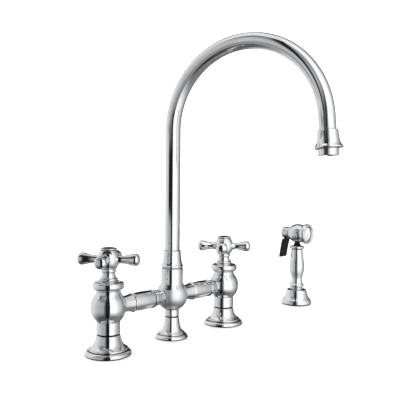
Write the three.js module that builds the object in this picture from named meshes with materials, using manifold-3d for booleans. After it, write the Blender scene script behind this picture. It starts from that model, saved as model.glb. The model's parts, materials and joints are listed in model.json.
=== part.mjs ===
// Bridge kitchen faucet with a side spray. Millimetres, +Z up, front (user's side) is -Y.
// Origin: axis of the centre column on the worktop plane. Hot valve at -X, cold valve at +X.
import * as THREE from 'three';
import { mergeVertices } from 'three/addons/utils/BufferGeometryUtils.js';
import Module from 'manifold-3d';

const wasm = await Module();
wasm.setup();

// ---------------------------------------------------------------- driving dimensions
const VALVE_X = 101.6;        // valve axes at +-VALVE_X: 203.2 mm (8 in) centres
const WATER_Z = 55.1;         // height of the bridge axis and of all three ball centres
const ARM_MID = 50.8;         // middle of each bridge arm
const BALL_R = 20.5;          // valve ball radius
const BALL_H = 21.5;          // valve ball half height
const CENTRE_BALL_R = 20.3;   // centre ball radius
const HANDLE_Z = 110.4;       // height of the cross arms
const HANDLE_TURN = 36.5;      // degrees from +X of the first cross arm, valves closed
const HANDLE_REACH = 37;      // arm tip from the valve axis
const TUBE_R = 9.45;          // spout tube outside radius
const TUBE_BORE = 8.1;        // spout tube inside radius
const TUBE_FOOT_Z = 100.1;    // lower end of the spout tube
const ARC_Z = 265.7;           // height of the arc centre
const ARC_R = 101.0;          // arc centreline radius
const ARC_END = 175.6;        // degrees the arc turns through: its end still leans outward
const SPOUT_TURN = 12;        // degrees the spout is swung from -Y towards +X
const RIM_Z = 238.1;          // height of the end bell's rim centre
const SEAT = 17.5;            // tube end above the bell's rim, along the bell's axis
const AERATOR_Y = -203.5;     // aerator axis before the swing, where it crosses the bell's seat
const AERATOR_LEAN = 2.4;     // degrees
const SPRAY_X = 287.4;        // side spray axis
const HEAD_Z = 117.3;         // height of the spray head axis
const GAP = 0.3;              // clearance between seated pieces

// ---------------------------------------------------------------- solids
const V2 = (p) => new THREE.Vector2(p[0], p[1]);

function toManifold(geo) {
  const g = geo.index ? geo.toNonIndexed() : geo.clone();
  g.deleteAttribute('normal');
  g.deleteAttribute('uv');
  const m = mergeVertices(g, 1e-4);
  const pos = m.attributes.position.array, idx = m.index.array, tri = [];
  for (let i = 0; i < idx.length; i += 3) {
    const a = idx[i], b = idx[i + 1], c = idx[i + 2];
    if (a !== b && b !== c && a !== c) tri.push(a, b, c);
  }
  let vol = 0;
  const p = (k, j) => pos[3 * k + j];
  for (let i = 0; i < tri.length; i += 3) {
    const [a, b, c] = [tri[i], tri[i + 1], tri[i + 2]];
    vol += p(a, 0) * (p(b, 1) * p(c, 2) - p(b, 2) * p(c, 1))
      - p(a, 1) * (p(b, 0) * p(c, 2) - p(b, 2) * p(c, 0))
      + p(a, 2) * (p(b, 0) * p(c, 1) - p(b, 1) * p(c, 0));
  }
  if (vol < 0) for (let i = 0; i < tri.length; i += 3) [tri[i + 1], tri[i + 2]] = [tri[i + 2], tri[i + 1]];
  return new wasm.Manifold(new wasm.Mesh({
    numProp: 3, vertProperties: new Float32Array(pos), triVerts: new Uint32Array(tri),
  }));
}

function toGeometry(man) {
  const m = man.getMesh();
  const g = new THREE.BufferGeometry();
  g.setAttribute('position', new THREE.BufferAttribute(new Float32Array(m.vertProperties), 3));
  g.setIndex(new THREE.BufferAttribute(new Uint32Array(m.triVerts), 1));
  g.computeVertexNormals();
  return g;
}

// A turned piece about +Z from [radius, height] pairs. A profile that does not start and end
// on the axis is a ring and closes on itself.
function turned(profile, n = 16, turn = 0) {
  const pts = profile.map(V2);
  if (!(profile[0][0] === 0 && profile[profile.length - 1][0] === 0)) pts.push(V2(profile[0]));
  const g = new THREE.LatheGeometry(pts, n);
  g.rotateX(Math.PI / 2);
  if (turn) g.rotateZ(turn);
  return toManifold(g);
}

function cylinder(r, x0, x1, axis = 'z', n = 12) {
  const g = new THREE.CylinderGeometry(r, r, x1 - x0, n);
  if (axis === 'z') g.rotateX(Math.PI / 2), g.translate(0, 0, (x0 + x1) / 2);
  if (axis === 'y') g.translate(0, (x0 + x1) / 2, 0);
  if (axis === 'x') g.rotateZ(Math.PI / 2), g.translate((x0 + x1) / 2, 0, 0);
  return toManifold(g);
}

function box(x0, x1, y0, y1, z0, z1) {
  const g = new THREE.BoxGeometry(x1 - x0, y1 - y0, z1 - z0);
  g.translate((x0 + x1) / 2, (y0 + y1) / 2, (z0 + z1) / 2);
  return toManifold(g);
}

// ---------------------------------------------------------------- finishes
const finish = {
  chrome: [0xc9cbce, 0.14, 1.0],
  brass: [0xb9995a, 0.42, 1.0],
  steel: [0xa9abad, 0.35, 1.0],
  black: [0x17181a, 0.45, 0.0],
  rubber: [0x1c1c1d, 0.8, 0.0],
  white: [0xe9eaea, 0.45, 0.0],
  ceramic: [0xf2efe8, 0.25, 0.0],
};
const faucet = new THREE.Group();
faucet.name = 'bridge_faucet';

function add(parent, name, man, look) {
  const [color, roughness, metalness] = finish[look];
  const mesh = new THREE.Mesh(toGeometry(man), new THREE.MeshStandardMaterial({ color, roughness, metalness }));
  mesh.name = name;
  parent.add(mesh);
  return mesh;
}
function place(parent, x, y, z, turnZ = 0) {
  const g = new THREE.Group();
  g.position.set(x, y, z);
  g.rotation.z = THREE.MathUtils.degToRad(turnZ);
  parent.add(g);
  return g;
}

// ---------------------------------------------------------------- valve columns
// Points on a ball profile from height a to height b, centre WATER_Z.
function ball(r, h, a, b, steps) {
  const out = [];
  for (let i = 0; i <= steps; i++) {
    const z = a + (b - a) * i / steps;
    out.push([r * Math.sqrt(1 - ((z - WATER_Z) / h) ** 2), z]);
  }
  return out;
}

const valveEscutcheon = [
  [26.1, 0], [26.7, 1.4], [26.0, 3.7], [23.4, 5.7], [22.7, 7.3],
  [18.6, 10.6], [15.6, 15], [13.8, 22.9], [12.9, 23.4],
  [10.9, 23.4], [10.9, 17], [22.2, 2.6], [22.2, 0],
];
const centreEscutcheon = [
  [19.9, 0], [20.5, 1.3], [19.9, 3.4], [17.1, 5.2], [16.7, 6.5],
  [13.4, 9.6], [11.0, 14.6], [9.5, 26.5], [8.9, 27.1],
  [7.7, 27.1], [7.7, 17], [16.4, 2.6], [16.4, 0],
];
const gasket = (rOut, rIn, h) => [[rOut, 0], [rOut, h], [rIn, h], [rIn, 0]];

const valveBody = [
  [10.3, 0], [10.3, 24.4], [12.6, 24.4], [13.6, 25.2], ...ball(BALL_R, BALL_H, 39.2, 66.6, 6),
  [13.9, 72.0], [13.8, 74.8],
  [10.8, 74.8], [10.8, 46], [6.5, 44], [6.5, 0],
];
const bonnet = [
  [14.1, 75.2], [17.0, 76.6], [18.1, 80.1], [16.9, 83.7], [12.6, 85.0],
  [10.6, 86.0], [10.7, 87.6], [8.9, 89.3], [7.3, 95.2],
  [5.3, 95.2], [5.3, 87.6], [8.2, 86.6], [8.2, 75.2],
];
const cartridge = [
  [10.2, 48.4], [10.2, 74.8], [7.8, 74.8], [7.8, 86.2], [5.0, 86.2], [5.0, 60.4], [8.2, 59.6], [8.2, 48.4],
];
const stem = [
  [0, 56.0], [7.7, 56.0], [7.7, 59.2], [4.5, 59.4], [4.5, 100.6], [3.6, 101.2], [3.6, 112.0],
  [1.5, 112.0], [1.5, 105.0], [0, 105.0],
];
const hub = [
  [7.7, 95.5], [8.6, 97.0], [8.2, 99.4], [11.3, 103.4], [12.5, 110.0],
  [11.6, 116.4], [8.9, 121.3],
  [7.4, 121.3], [7.4, 116.2], [1.7, 116.2], [1.7, 112.4], [4.1, 112.4], [4.1, 101.8], [4.9, 101.0], [4.9, 95.5],
];
const arm = [
  [0, 8.5], [5.2, 8.5], [4.4, 16.0], [5.7, 24.4], [7.2, 30.2], [6.2, 34.8], [0, HANDLE_REACH],
];
const indexButton = [[0, 119.1], [7.0, 119.1], [7.0, 121.6], [9.0, 121.6], [9.5, 122.5], [9.2, 123.4], [5.5, 124.5], [0, 124.9]];
const handleScrew = [[0, 106.4], [1.2, 106.4], [1.2, 116.5], [3.1, 116.5], [3.1, 118.0], [2.4, 118.8], [0, 118.8]];

function ported(disc, z0, z1) {
  return disc.subtract(cylinder(2.0, z0 - 1, z1 + 1, 'z', 6).translate([0, 4.4, 0]))
    .subtract(cylinder(2.0, z0 - 1, z1 + 1, 'z', 6).translate([0, -4.4, 0]));
}

function crossHandle() {
  let solid = turned(hub);
  for (let k = 0; k < 4; k++) {
    const g = new THREE.LatheGeometry(arm.map(V2), 8);
    g.rotateZ(-Math.PI / 2);
    g.translate(0, 0, HANDLE_Z);
    g.rotateZ(k * Math.PI / 2);
    solid = solid.add(toManifold(g));
  }
  return solid.subtract(cylinder(4.1, 101.8, 112.4));
}

function valve(side, s) {
  const v = place(faucet, s * VALVE_X, 0, 0);
  add(v, `${side}_escutcheon`, turned(valveEscutcheon), 'chrome');
  add(v, `${side}_deck_gasket`, turned(gasket(21.4, 11.2, 2.2), 16), 'rubber');
  const socket = cylinder(7.9, s > 0 ? -24 : 8, s > 0 ? -8 : 24, 'x', 12).translate([0, 0, WATER_Z]);
  add(v, `${side}_valve_body`, turned(valveBody).subtract(socket), 'chrome');
  add(v, `${side}_bonnet`, turned(bonnet), 'chrome');
  add(v, `${side}_cartridge_body`, turned(cartridge, 12), 'brass');
  add(v, `${side}_fixed_disc`, ported(turned([[0, 48.8], [7.9, 48.8], [7.9, 52.1], [0, 52.1]], 12), 48.8, 52.1), 'ceramic');
  const h = place(v, 0, 0, 0, HANDLE_TURN);
  add(h, `${side}_moving_disc`, ported(turned([[0, 52.4], [7.8, 52.4], [7.8, 55.7], [0, 55.7]], 12), 52.4, 55.7), 'ceramic');
  add(h, `${side}_stem`, turned(stem, 12), 'steel');
  add(h, `${side}_cross_handle`, crossHandle(), 'chrome');
  add(h, `${side}_handle_screw`, turned(handleScrew, 12), 'steel');
  add(h, `${side}_index_button`, turned(indexButton), 'chrome');
}
valve('hot', -1);
valve('cold', 1);

// ---------------------------------------------------------------- bridge arms
// Turned about X, measured from the middle of the arm: cone, bead, barrel, bead, cone.
const armHalf = [
  [10.7, 14.0], [10.3, 14.5], [11.6, 15.5], [11.6, 16.5], [10.6, 18.0], [9.1, 31.4],
];
function bridgeArm() {
  const right = armHalf.map(([r, x]) => [r, x]);
  const left = armHalf.map(([r, x]) => [r, -x]).reverse();
  const profile = [[7.5, -39.4], [7.5, -31.4], ...left, [11.3, 0], ...right, [7.5, 31.4], [7.5, 39.4], [5.2, 39.4], [5.2, -39.4]];
  const pts = profile.map(V2);
  pts.push(V2(profile[0]));
  const g = new THREE.LatheGeometry(pts, 16);
  g.rotateZ(-Math.PI / 2);
  return toManifold(g);
}
for (const [side, s] of [['hot', -1], ['cold', 1]]) {
  const a = place(faucet, s * ARM_MID, 0, WATER_Z);
  add(a, `${side}_bridge_arm`, bridgeArm(), 'chrome');
}

// ---------------------------------------------------------------- centre column
const centreBody = [
  [7.1, 0], [7.1, 28.1], [8.4, 28.1], [9.0, 28.7], ...ball(CENTRE_BALL_R, CENTRE_BALL_R, 37.2, 65.2, 6),
  [14.1, 71.2], [14.0, 89.1], [13.6, 89.6],
  [12.7, 89.6], [12.7, 79.0], [9.9, 79.0], [9.9, 66.2], [9.4, 66.2], [9.4, 42.4], [4.5, 41.4], [4.5, 0],
];
const centre = place(faucet, 0, 0, 0);
add(centre, 'centre_escutcheon', turned(centreEscutcheon), 'chrome');
add(centre, 'centre_deck_gasket', turned(gasket(15.8, 8.0, 2.2), 16), 'rubber');
add(centre, 'centre_body', turned(centreBody)
  .subtract(cylinder(7.9, 8.5, 24, 'x', 12).translate([0, 0, WATER_Z]))
  .subtract(cylinder(7.9, -24, -8.5, 'x', 12).translate([0, 0, WATER_Z])), 'chrome');
// Outlet check valve in the shank: a solid end face on the worktop plane and windows in its side.
add(centre, 'spray_check_valve', turned([
  [0, 0], [3.3, 0], [3.3, 6.4], [4.1, 6.8], [4.1, 10], [2.4, 10], [2.4, 1.8], [0, 1.8]], 12)
  .subtract(cylinder(0.9, -6, 6, 'x', 8).translate([0, 0, 4]))
  .subtract(cylinder(0.9, -6, 6, 'y', 8).translate([0, 0, 4])), 'white');
// The diverter: a sleeve with a flange, a poppet that lifts inside it and its return spring.
add(centre, 'diverter_sleeve', turned([
  [5.9, 42.9], [5.9, 62.4], [9.0, 62.8], [9.0, 65.9], [2.6, 65.9], [2.6, 63.6], [4.6, 63.4], [4.6, 42.9]], 12)
  .subtract(cylinder(2.4, -7, 7, 'x', 8).translate([0, 0, 58.5])), 'white');
add(centre, 'diverter_poppet', turned([[0, 45.0], [4.2, 45.0], [4.2, 49.4], [1.5, 49.6], [1.5, 55.4], [0, 55.4]], 12), 'white');

function coil(rCentre, rWire, len, turns, perTurn, sides) {
  class Helix extends THREE.Curve {
    getPoint(t, target = new THREE.Vector3()) {
      const a = t * turns * 2 * Math.PI;
      return target.set(rCentre * Math.cos(a), rCentre * Math.sin(a), t * len);
    }
  }
  const shape = new THREE.Shape();
  for (let i = 0; i < sides; i++) {
    const a = (i / sides) * 2 * Math.PI;
    if (i) shape.lineTo(rWire * Math.cos(a), rWire * Math.sin(a)); else shape.moveTo(rWire, 0);
  }
  shape.closePath();
  return toManifold(new THREE.ExtrudeGeometry(shape, {
    steps: Math.round(turns * perTurn), bevelEnabled: false, extrudePath: new Helix(), curveSegments: 1,
  }));
}
add(centre, 'diverter_spring', coil(3.1, 0.4, 12.1, 4, 8, 4).translate([0, 0, 50.6]), 'steel');

// ---------------------------------------------------------------- spout swivel
add(centre, 'spout_nut_washer', turned([[13.2, 89.9], [13.2, 91.1], [12.6, 91.1], [12.6, 89.9]]), 'steel');
add(centre, 'spout_nut', turned([
  [12.3, 80.4], [12.3, 91.4], [14.1, 91.4], [14.0, 93.6], [12.1, 98.2],
  [11.2, 104], [10.7, 112.0], [10.4, 112.3], [10.0, 112.3], [10.0, 100.8], [11.3, 100.2], [11.3, 80.4]]), 'chrome');
add(centre, 'swivel_bushing', turned([[10.95, 79.3], [10.95, 95.4], [9.8, 95.4], [9.8, 79.3]], 20), 'white');

const spout = place(faucet, 0, 0, 0, SPOUT_TURN);   // built along -Y, then swung
add(spout, 'spout_post', turned([
  [9.4, 66.8], [9.4, 69.4], [8.4, 69.4], [8.4, 71.6], [9.4, 71.6], [9.4, 74.0], [8.4, 74.0], [8.4, 76.2], [9.4, 76.2],
  [9.4, 95.8], [10.9, 95.8], [10.9, 99.8], [7.7, 99.8], [7.7, 114], [6.2, 114], [6.2, 66.8]], 16), 'brass');
for (const [name, z] of [['spout_o_ring_lower', 69.7], ['spout_o_ring_upper', 74.3]]) {
  add(spout, name, turned([[8.75, z], [9.5, z], [9.6, z + 0.8], [9.5, z + 1.6], [8.75, z + 1.6]], 12), 'rubber');
}

// Gooseneck: straight riser, an arc of a little under half a circle towards -Y and a short
// straight end that leans outward by LEAN degrees.
const LEAN = 180 - ARC_END;
const END_A = THREE.MathUtils.degToRad(ARC_END);
const ARC_END_Y = -ARC_R * (1 - Math.cos(END_A));
const ARC_END_Z = ARC_Z + ARC_R * Math.sin(END_A);
const RIM_RUN = (ARC_END_Z - RIM_Z) / -Math.cos(END_A);
const RIM_Y = ARC_END_Y - RIM_RUN * Math.sin(END_A);
function gooseneck(outer, bore) {
  const ring = (r, n) => Array.from({ length: n }, (_, i) =>
    [r * Math.cos(2 * Math.PI * i / n), r * Math.sin(2 * Math.PI * i / n)]);
  const N = 14, stations = [[0, TUBE_FOOT_Z, 0], [0, ARC_Z, 0]];
  const ARC_STEPS = 18;
  for (let i = 1; i <= ARC_STEPS; i++) {
    const a = END_A * i / ARC_STEPS;
    stations.push([-ARC_R * (1 - Math.cos(a)), ARC_Z + ARC_R * Math.sin(a), a]);
  }
  const run = RIM_RUN - SEAT;
  stations.push([ARC_END_Y - run * Math.sin(END_A), ARC_END_Z + run * Math.cos(END_A), END_A]);
  const pos = [], idx = [];
  for (const r of [outer, bore]) {
    for (const [y, z, a] of stations) {
      for (const [u, v] of ring(r, N)) pos.push(u, y + v * Math.cos(a), z + v * Math.sin(a));
    }
  }
  const S = stations.length, at = (k, s, i) => (k * S + s) * N + (i % N);
  const quad = (a, b, c, d) => idx.push(a, b, c, a, c, d);
  for (let i = 0; i < N; i++) {
    for (let s = 0; s + 1 < S; s++) {
      quad(at(0, s, i), at(0, s, i + 1), at(0, s + 1, i + 1), at(0, s + 1, i));
      quad(at(1, s, i + 1), at(1, s, i), at(1, s + 1, i), at(1, s + 1, i + 1));
    }
    quad(at(0, 0, i + 1), at(0, 0, i), at(1, 0, i), at(1, 0, i + 1));
    quad(at(0, S - 1, i), at(0, S - 1, i + 1), at(1, S - 1, i + 1), at(1, S - 1, i));
  }
  const g = new THREE.BufferGeometry();
  g.setAttribute('position', new THREE.BufferAttribute(new Float32Array(pos), 3));
  g.setIndex(idx);
  return toManifold(g);
}
add(spout, 'spout_tube', gooseneck(TUBE_R, TUBE_BORE), 'chrome');

// End bell, heights from its rim along its own axis.
const tip = place(spout, 0, RIM_Y, RIM_Z);
tip.rotation.x = -THREE.MathUtils.degToRad(LEAN);
add(tip, 'spout_end_bell', turned([
  [15.2, 0], [15.8, 1.4], [13.8, 4.6], [12.5, 8.4],
  [11.6, 14], [11.4, 20.1],
  [10.2, 20.1], [10.2, 17.2], [8.9, 16.8], [8.9, 15.2], [10.0, 14.4], [10.0, 9.5], [12.9, 1.6], [13.9, 0]]), 'chrome');

// Aerator, hung upright on its ball seat inside the leaning bell. Heights from the bell's rim.
const SEAT_H = 7.7;
const nozzle = place(spout, 0, AERATOR_Y, RIM_Z + SEAT_H);
nozzle.rotation.x = -THREE.MathUtils.degToRad(AERATOR_LEAN);
const hung = (profile) => profile.map(([r, h]) => [r, h - SEAT_H]);
add(nozzle, 'aerator_housing', turned(hung([
  [10.9, -7.9], [11.3, -7.3], [11.3, 0.8], [8.6, 6.0], [8.6, 9.2], [7.3, 9.2], [7.3, 4.6], [9.6, 1.2], [9.6, -5.7], [10.2, -6.5], [10.2, -7.9]])), 'chrome');
let screen = turned(hung([[0, -5.0], [9.2, -5.0], [9.2, 0.9], [0, 0.9]]));
for (let k = 0; k < 4; k++) {
  const a = k * Math.PI / 2;
  screen = screen.subtract(cylinder(1.4, -14, -5, 'z', 8).translate([5.6 * Math.cos(a), 5.6 * Math.sin(a), 0]));
}
add(nozzle, 'aerator_insert', screen, 'white');
add(nozzle, 'aerator_washer', turned(hung([[8.7, 9.5], [8.7, 11.3], [5.6, 11.3], [5.6, 9.5]]), 12), 'rubber');

// ---------------------------------------------------------------- side spray
const spray = place(faucet, SPRAY_X, 0, 0);
add(spray, 'spray_holder', turned([
  [22.5, 0], [24.1, 3.4], [23.3, 7.0], [18.9, 12.6], [16.9, 20.2], [15.2, 24.1],
  [13.6, 24.1], [13.6, 19.2], [12.8, 19.2], [12.8, 2.8], [20.6, 2.8], [20.6, 0]]), 'chrome');
add(spray, 'spray_holder_gasket', turned(gasket(20.0, 13.2, 2.4), 16), 'rubber');
add(spray, 'spray_holder_liner', turned([
  [12.4, 0.3], [12.4, 19.5], [13.2, 19.5], [13.2, 21.9], [11.6, 21.9], [10.9, 19.0], [8.6, 9.0], [5.8, 9.0], [5.8, 0.3]]), 'black');

add(spray, 'spray_hose_nut', turned([
  [7.6, 9.3], [8.1, 12.0], [10.0, 20.6], [10.4, 22.8], [10.4, 25.6], [10.0, 26.2], [5.2, 26.2], [5.2, 33.6],
  [3.2, 33.6], [3.2, 22.0], [4.6, 21.0], [4.6, 9.3]]), 'chrome');
add(spray, 'spray_nut_o_ring', turned([[5.5, 26.6], [7.4, 26.6], [7.4, 28.1], [5.5, 28.1]], 12), 'rubber');
add(spray, 'spray_handle', turned([
  [9.9, 26.6], [9.9, 28.6], [11.6, 31.0], [9.6, 34.6], [8.6, 40.6],
  [11.0, 52], [12.2, 61.4], [11.4, 71.4], [8.9, 87], [8.9, 90.8], [11.4, 94.0], [10.6, 96.1], [9.4, 96.5],
  [4.4, 96.5], [4.4, 86.4], [3.6, 86.0], [3.6, 35.2], [5.6, 34.4], [5.6, 28.6], [7.7, 28.4], [7.7, 26.6]]), 'chrome');
add(spray, 'spray_neck', turned([
  [4.1, 87.0], [4.1, 96.8], [6.3, 96.8], [5.4, 99.2], [4.7, 101.3], [4.0, 101.3], [4.0, 107.6], [2.6, 107.6], [2.6, 87.0]]), 'black');

// Pieces turned about the head axis, which runs along Y. [radius, y]
function turnedY(profile, n = 16) {
  const pts = profile.map(V2);
  if (!(profile[0][0] === 0 && profile[profile.length - 1][0] === 0)) pts.push(V2(profile[0]));
  return toManifold(new THREE.LatheGeometry(pts, n));
}
const head = place(spray, 0, 0, HEAD_Z);
add(head, 'spray_head_shell', turnedY([
  [12.9, -11.7], [14.7, -8], [15.3, -2.5], [14.6, 3.4], [12.6, 8.4], [10.6, 11.4], [9.0, 12.0],
  [2.2, 12.0], [2.2, 7.4], [8.6, 6.6], [9.4, -6.5], [11.2, -8.6], [11.2, -11.7]])
  .subtract(cylinder(4.4, -18, -8, 'z', 16)), 'chrome');
add(head, 'spray_face_ring', turnedY([
  [14.4, -21.6], [15.7, -20.6], [16.1, -18.0], [15.5, -15.2], [13.4, -14.2], [13.2, -12.0],
  [11.9, -12.0], [11.9, -14.6], [12.6, -15.0], [12.6, -17.6], [11.9, -18.2], [11.9, -21.0], [12.4, -21.6]]), 'chrome');
let plate = turnedY([[0, -18.8], [10.9, -18.8], [11.4, -18.2], [11.4, -17.4], [12.2, -16.8], [12.2, -15.3], [11.5, -14.9], [11.5, -12.2], [10.7, -12.2], [10.7, -14.2], [0, -14.2]]);
for (let k = 0; k < 5; k++) {
  const a = k * 2 * Math.PI / 5;
  plate = plate.subtract(cylinder(0.8, -20, -12, 'y', 6).translate([5.8 * Math.cos(a), 0, 5.8 * Math.sin(a)]));
}
add(head, 'spray_nozzle_plate', plate, 'white');
const CAP_R = 9.3;
const CAP_END = 26.6;
add(head, 'spray_back_cap', turnedY([
  [0, 12.3], [8.4, 12.3], [CAP_R, 13.4], [CAP_R, CAP_END - 1.1], [8.3, CAP_END], [0, CAP_END]])
  .subtract(box(-4.4, 4.4, 16.6, 24.9, -12, 7.2))
  .subtract(cylinder(1.9, 11, 18, 'y', 12))
  .subtract(cylinder(1.5, -10, 10, 'x', 12).translate([0, 20.4, 4.4])), 'chrome');
add(head, 'lever_pivot_pin', cylinder(1.15, -7.7, 7.7, 'x', 12).translate([0, 20.4, 4.4]), 'steel');

// Lever: a tongue on the pin inside the cap, and a flat blade hanging outside behind the handle.
function sheet(points, x0, x1) {
  const shape = new THREE.Shape(points.map(V2));
  const g = new THREE.ExtrudeGeometry(shape, { depth: x1 - x0, bevelEnabled: false, steps: 1 });
  g.applyMatrix4(new THREE.Matrix4().set(0, 0, 1, x0, 1, 0, 0, 0, 0, 1, 0, 0, 0, 0, 0, 1));
  return toManifold(g);
}
const tongue = sheet([[18.6, 6.1], [22.2, 6.1], [23.2, 4.6], [23.6, -3.0], [24.0, -11.6], [21.0, -11.6], [18.3, -3.0], [17.9, 3.6]], -4.0, 4.0);
const blade = sheet([[20.6, -10.0], [23.6, -10.0], [26.2, -21], [29.8, -40.9], [29.2, -41.5], [27.0, -40.5], [23.6, -21.6]], -9.3, 9.3);
add(head, 'spray_lever', tongue.add(blade).subtract(cylinder(1.45, -10, 10, 'x', 12).translate([0, 20.4, 4.4])), 'black');
add(head, 'spray_plunger', turnedY([[0, 17.6], [1.5, 17.6], [1.5, 5.2], [5.4, 4.9], [5.4, 2.6], [0, 2.6]], 12), 'brass');
add(head, 'spray_valve_seal', turnedY([[2.0, 5.5], [5.2, 5.5], [5.2, 6.7], [2.0, 6.7]], 12), 'rubber');
add(head, 'spray_spring', (() => {
  const s = coil(4.1, 0.45, 13.4, 4, 8, 4);
  return s.rotate([90, 0, 0]).translate([0, 1.7, 0]);
})(), 'steel');
add(head, 'spray_spring_seat', turnedY([[3.2, -13.9], [7.6, -13.9], [7.6, -12.7], [3.2, -12.7]], 12), 'brass');

export default faucet;
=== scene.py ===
# Bridge kitchen faucet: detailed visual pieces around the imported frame. Lengths in this file's
# profiles are millimetres and are turned into metres when a mesh is made.
import bpy
import bmesh
import json
import math
import numpy as np
from mathutils import Matrix, Vector

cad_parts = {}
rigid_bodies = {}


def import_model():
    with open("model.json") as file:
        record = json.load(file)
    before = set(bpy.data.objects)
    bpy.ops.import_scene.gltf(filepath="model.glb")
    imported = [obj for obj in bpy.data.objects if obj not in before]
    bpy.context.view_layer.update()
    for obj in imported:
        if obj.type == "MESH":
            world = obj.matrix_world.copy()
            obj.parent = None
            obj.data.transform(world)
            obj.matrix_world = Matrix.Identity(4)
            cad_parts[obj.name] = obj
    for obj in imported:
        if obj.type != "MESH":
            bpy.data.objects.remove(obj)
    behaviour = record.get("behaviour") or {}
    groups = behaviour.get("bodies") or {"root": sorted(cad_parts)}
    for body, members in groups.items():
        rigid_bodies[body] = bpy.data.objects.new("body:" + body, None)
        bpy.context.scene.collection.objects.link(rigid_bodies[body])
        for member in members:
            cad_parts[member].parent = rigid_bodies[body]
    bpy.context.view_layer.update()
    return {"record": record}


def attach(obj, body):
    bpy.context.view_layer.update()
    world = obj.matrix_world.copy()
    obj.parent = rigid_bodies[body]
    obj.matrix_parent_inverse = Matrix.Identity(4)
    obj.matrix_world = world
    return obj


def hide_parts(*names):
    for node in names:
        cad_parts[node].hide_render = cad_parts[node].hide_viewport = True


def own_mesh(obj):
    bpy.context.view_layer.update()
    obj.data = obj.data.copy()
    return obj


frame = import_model()

MM = 0.001
VALVE_X = 101.6
WATER_Z = 55.1
ARM_MID = 50.8
HANDLE_Z = 110.4
HANDLE_TURN = 36.5
TUBE_R = 9.45
ARC_Z = 265.7
ARC_R = 101.0
ARC_END = math.radians(175.6)
LEAN = 4.4
SPOUT_TURN = 12.0
RIM_Z = 238.1
SEAT = 17.5
AERATOR_Y = -203.5
AERATOR_LEAN = 2.4
TUBE_FOOT_Z = 100.1
SPRAY_X = 287.4
HEAD_Z = 117.3

# ------------------------------------------------------------------ node helpers


class Nodes:
    """Small wrapper that builds a shader tree."""

    def __init__(self, tree):
        self.t = tree
        self.t.nodes.clear()

    def new(self, kind, **props):
        n = self.t.nodes.new(kind)
        for k, v in props.items():
            setattr(n, k, v)
        return n

    def put(self, socket, value):
        if isinstance(value, bpy.types.NodeSocket):
            self.t.links.new(value, socket)
        elif value is not None:
            socket.default_value = value

    def math(self, op, a, b=None, c=None, clamp=False):
        n = self.new("ShaderNodeMath", operation=op, use_clamp=clamp)
        self.put(n.inputs[0], a)
        if b is not None:
            self.put(n.inputs[1], b)
        if c is not None:
            self.put(n.inputs[2], c)
        return n.outputs[0]

    def ramp(self, x, a, b, lo=0.0, hi=1.0, smooth=True):
        n = self.new("ShaderNodeMapRange", interpolation_type="SMOOTHSTEP" if smooth else "LINEAR")
        self.put(n.inputs["Value"], x)
        n.inputs["From Min"].default_value = a
        n.inputs["From Max"].default_value = b
        n.inputs["To Min"].default_value = lo
        n.inputs["To Max"].default_value = hi
        return n.outputs["Result"]

    def dot(self, v, w):
        n = self.new("ShaderNodeVectorMath", operation="DOT_PRODUCT")
        self.put(n.inputs[0], v)
        n.inputs[1].default_value = w
        return n.outputs["Value"]

    def mix(self, fac, a, b):
        n = self.new("ShaderNodeMix", data_type="FLOAT")
        self.put(n.inputs[0], fac)
        self.put(n.inputs[2], a)
        self.put(n.inputs[3], b)
        return n.outputs[0]

    def mix_rgb(self, fac, a, b):
        n = self.new("ShaderNodeMix", data_type="RGBA")
        self.put(n.inputs[0], fac)
        self.put(n.inputs[6], a if isinstance(a, bpy.types.NodeSocket) else (*a, 1.0))
        self.put(n.inputs[7], b if isinstance(b, bpy.types.NodeSocket) else (*b, 1.0))
        return n.outputs[2]


# ------------------------------------------------------------------ materials


def material(name, build):
    m = bpy.data.materials.new(name)
    m.use_nodes = True
    n = Nodes(m.node_tree)
    out = n.new("ShaderNodeOutputMaterial")
    shader = n.new("ShaderNodeBsdfPrincipled")
    n.t.links.new(shader.outputs[0], out.inputs[0])
    coord = n.new("ShaderNodeTexCoord").outputs["Object"]
    build(n, shader, coord)
    return m


def stretched(n, coord, scale):
    m = n.new("ShaderNodeMapping")
    n.put(m.inputs["Vector"], coord)
    m.inputs["Scale"].default_value = scale
    return m.outputs[0]


def noise(n, coord, scale, detail=3.0, rough=0.5):
    t = n.new("ShaderNodeTexNoise")
    n.put(t.inputs["Vector"], coord)
    t.inputs["Scale"].default_value = scale
    t.inputs["Detail"].default_value = detail
    t.inputs["Roughness"].default_value = rough
    return t.outputs["Fac"]


def bump(n, height, strength, distance):
    b = n.new("ShaderNodeBump")
    b.inputs["Strength"].default_value = strength
    b.inputs["Distance"].default_value = distance
    n.put(b.inputs["Height"], height)
    return b.outputs[0]


def crevice(n, reach, shut, clear):
    """1 deep in a joint or groove, 0 on open faces; the ambient-occlusion mask for painted shade."""
    ao = n.new("ShaderNodeAmbientOcclusion", samples=6)
    ao.inputs["Distance"].default_value = reach
    return n.ramp(ao.outputs["AO"], shut, clear, 1.0, 0.0)


def plated(low, high, tint=(0.86, 0.87, 0.885)):
    """Plated metal: hairlines from buffing, faint water marks, and painted shade darkening the joints and grooves."""
    def build(n, s, coord):
        s.inputs["Metallic"].default_value = 1.0
        hair = noise(n, stretched(n, coord, (260.0, 260.0, 2600.0)), 1.0, 2.0, 0.6)
        marks = noise(n, coord, 55.0, 4.0, 0.55)
        film = n.ramp(marks, 0.45, 0.75)
        n.put(s.inputs["Roughness"], n.mix(n.math("MULTIPLY", n.math("ADD", hair, film), 0.5), low, high))
        dark = (tint[0] * 0.93, tint[1] * 0.93, tint[2] * 0.94)
        # painted shade: the base colour is pulled to near black where ambient occlusion finds a joint or groove
        crevice_shade = crevice(n, 0.0042, 0.36, 0.82)
        n.put(s.inputs["Base Color"], n.mix_rgb(crevice_shade, n.mix_rgb(film, tint, dark), (0.035, 0.035, 0.037)))
        n.put(s.inputs["Normal"], bump(n, hair, 0.02, 0.00002))
    return build


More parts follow.
